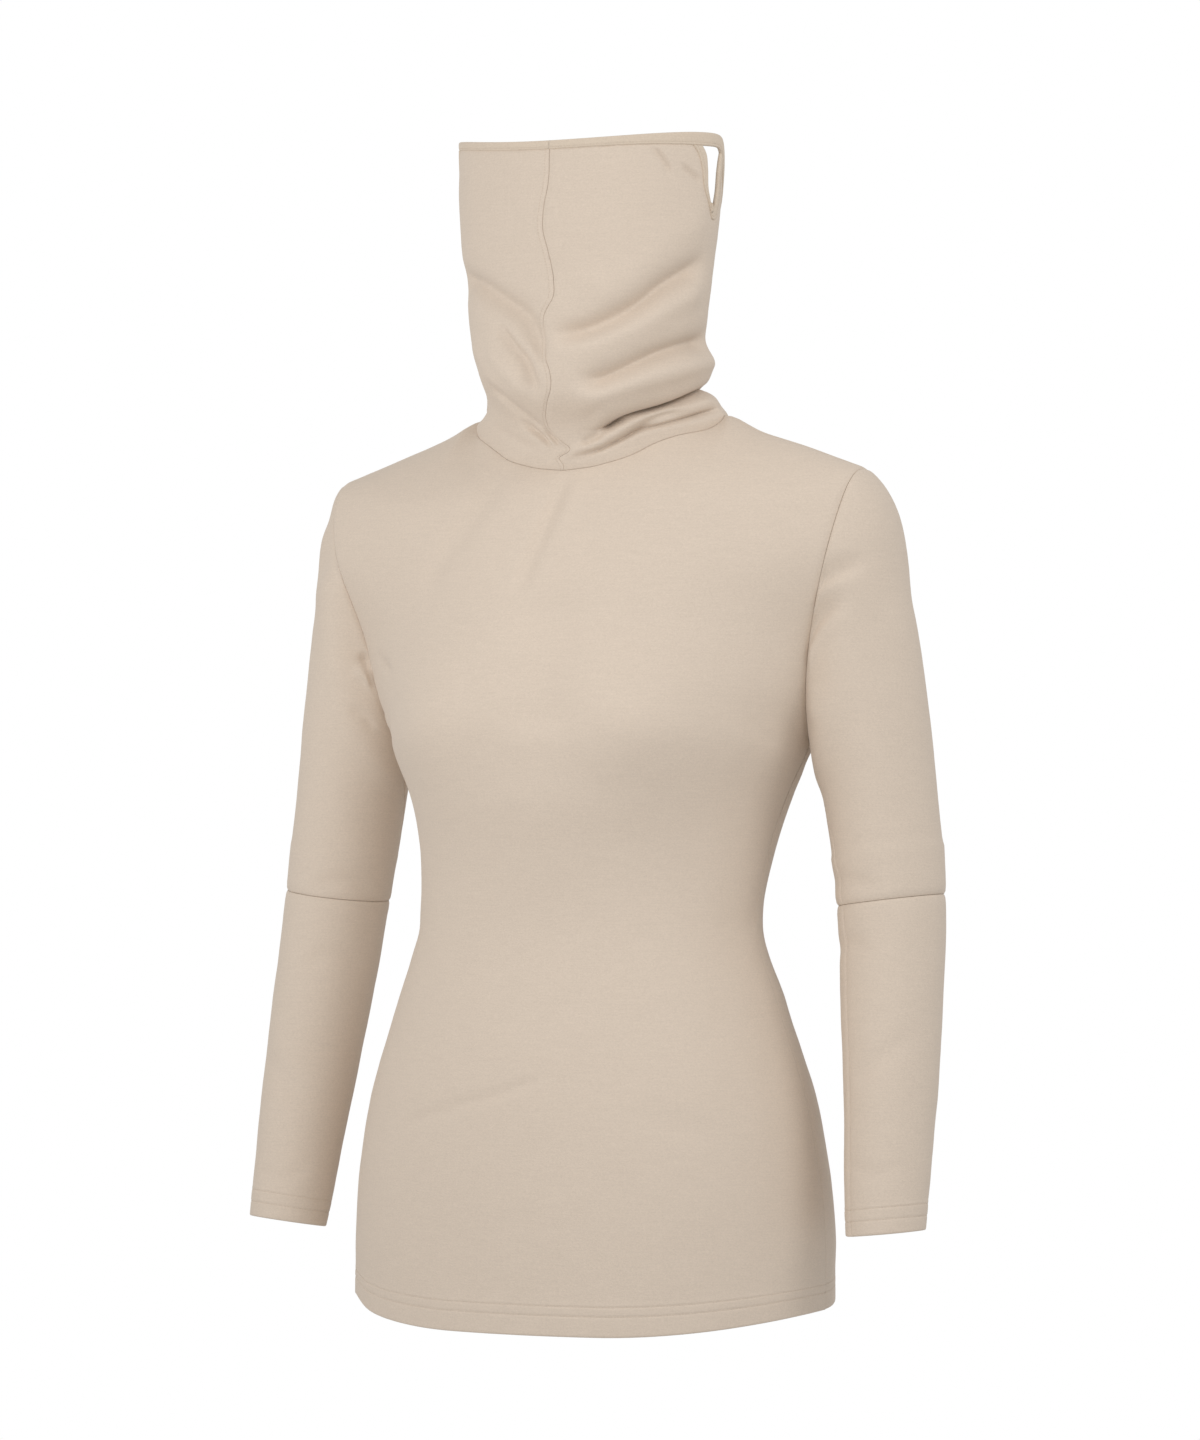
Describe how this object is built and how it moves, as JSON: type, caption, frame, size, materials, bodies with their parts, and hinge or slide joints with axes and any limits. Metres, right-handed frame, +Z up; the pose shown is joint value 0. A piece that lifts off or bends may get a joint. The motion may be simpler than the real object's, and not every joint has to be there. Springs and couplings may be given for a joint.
{
  "type": "long-sleeved top with a pull-up collar",
  "caption": "Fitted long-sleeved knit top in its worn form, with a tall gathered collar that pulls up over the face and has bound ear slots.",
  "frame": {"origin": "the middle of the shoulders, on the mid-plane and level with the upper ends of the shoulder seams", "axes": "+X to the wearer's left, -Y to the front, +Z up"},
  "size_m": [0.52, 0.246, 0.8287],
  "materials": {
    "front": "matt brushed knit",
    "back": "matt brushed knit",
    "upper_sleeve_left": "matt brushed knit",
    "upper_sleeve_right": "matt brushed knit",
    "lower_sleeve_left": "matt brushed knit",
    "lower_sleeve_right": "matt brushed knit",
    "collar_left": "matt brushed knit",
    "collar_right": "matt brushed knit",
    "rim_binding_left": "matt brushed knit",
    "rim_binding_right": "matt brushed knit",
    "ear_binding_left": "matt brushed knit",
    "ear_binding_right": "matt brushed knit"
  },
  "bodies": {
    "root": {"front": "front", "back": "back", "upper_sleeve_left": "upper_sleeve_left", "upper_sleeve_right": "upper_sleeve_right", "lower_sleeve_left": "lower_sleeve_left", "lower_sleeve_right": "lower_sleeve_right", "collar_left": "collar_left", "collar_right": "collar_right", "rim_binding_left": "rim_binding_left", "rim_binding_right": "rim_binding_right", "ear_binding_left": "ear_binding_left", "ear_binding_right": "ear_binding_right"}
  },
  "joints": []
}
